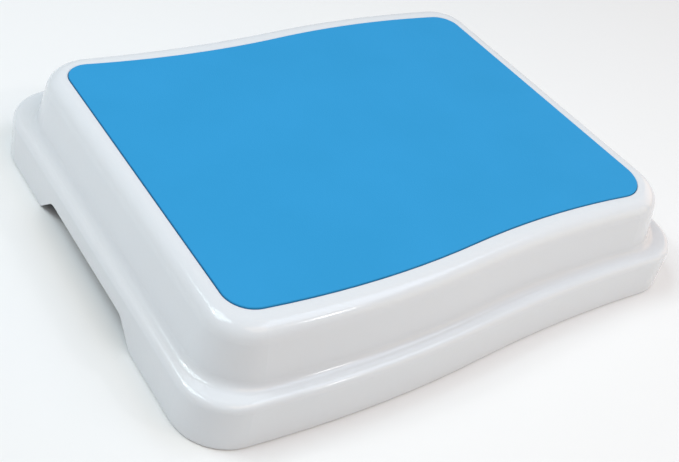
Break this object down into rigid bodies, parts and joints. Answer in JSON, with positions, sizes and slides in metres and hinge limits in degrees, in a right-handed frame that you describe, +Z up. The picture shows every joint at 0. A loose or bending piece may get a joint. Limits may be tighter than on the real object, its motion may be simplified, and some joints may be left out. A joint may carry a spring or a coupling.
{
  "type": "bath step",
  "caption": "Low two-tier bath step: hollow glossy plastic shell with wavy long sides, hand cut-outs, rubber feet and a soft non-slip tread.",
  "frame": {"origin": "on the floor under the middle of the step", "axes": "+X along the step's length, +Y to its back, +Z up"},
  "size_m": [0.51, 0.4148, 0.09],
  "materials": {
    "shell": "glossy white injection-moulded polypropylene",
    "tread": "soft blue thermoplastic elastomer with a fine pebble grain",
    "foot": "dark grey rubber, matte"
  },
  "bodies": {
    "root": {"step_body": "shell", "tread_mat": "tread", "foot_front_left": "foot", "foot_front_right": "foot", "foot_back_right": "foot", "foot_back_left": "foot"}
  },
  "joints": []
}
